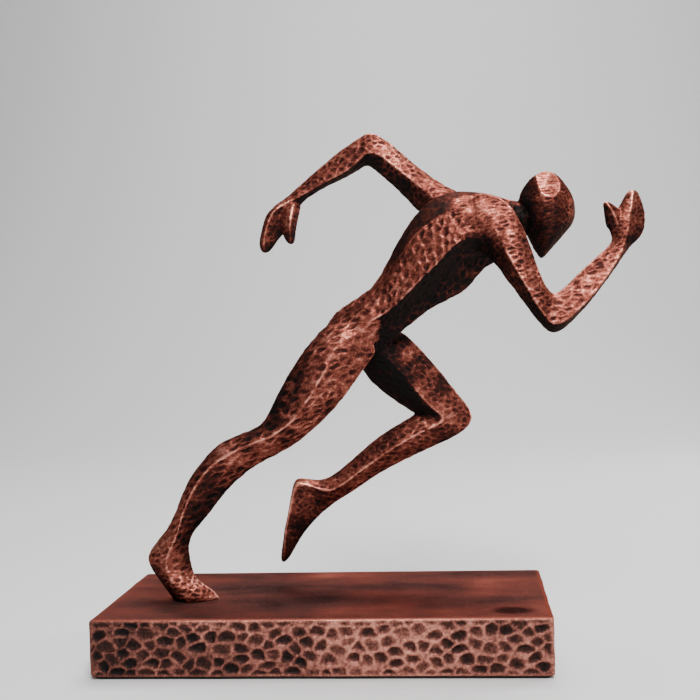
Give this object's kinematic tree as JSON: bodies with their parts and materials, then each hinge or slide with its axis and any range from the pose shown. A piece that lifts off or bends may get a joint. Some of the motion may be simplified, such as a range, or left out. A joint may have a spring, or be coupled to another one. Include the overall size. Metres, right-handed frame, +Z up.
{
  "type": "figure trophy",
  "caption": "Hammered cast-metal trophy of a faceless sprinter on the ball of one foot, pinned to a low hollow rectangular plinth with a felt base.",
  "frame": {"origin": "centre of the felt underside, the face the trophy rests on", "axes": "+Z up, +X the way the runner runs, along the plinth's length, +Y towards the runner's left"},
  "size_m": [0.27, 0.09, 0.2664],
  "materials": {
    "figure_bronze": "hammered antique copper patina, dark in the hollows, burnished on the ridges",
    "plinth_bronze": "dark streaked copper patina, smooth top and hammered sides",
    "ballast_iron": "rough cast",
    "cover_steel": "matt black paint",
    "felt": "pressed felt",
    "fastener_steel": "zinc plated",
    "dowel_steel": "ground"
  },
  "bodies": {
    "root": {"torso": "figure_bronze", "head": "figure_bronze", "right_arm": "figure_bronze", "left_arm": "figure_bronze", "right_leg": "figure_bronze", "left_leg": "figure_bronze", "plinth_shell": "plinth_bronze", "ballast_plate": "ballast_iron", "bottom_cover": "cover_steel", "felt_base": "felt", "ballast_screws": "fastener_steel", "cover_screws": "fastener_steel", "mounting_stud": "fastener_steel", "stud_washer": "fastener_steel", "stud_nut": "fastener_steel", "neck_dowel": "dowel_steel", "right_shoulder_dowel": "dowel_steel", "left_shoulder_dowel": "dowel_steel", "right_hip_dowel": "dowel_steel", "left_hip_dowel": "dowel_steel", "foot_pin": "dowel_steel"}
  },
  "joints": []
}
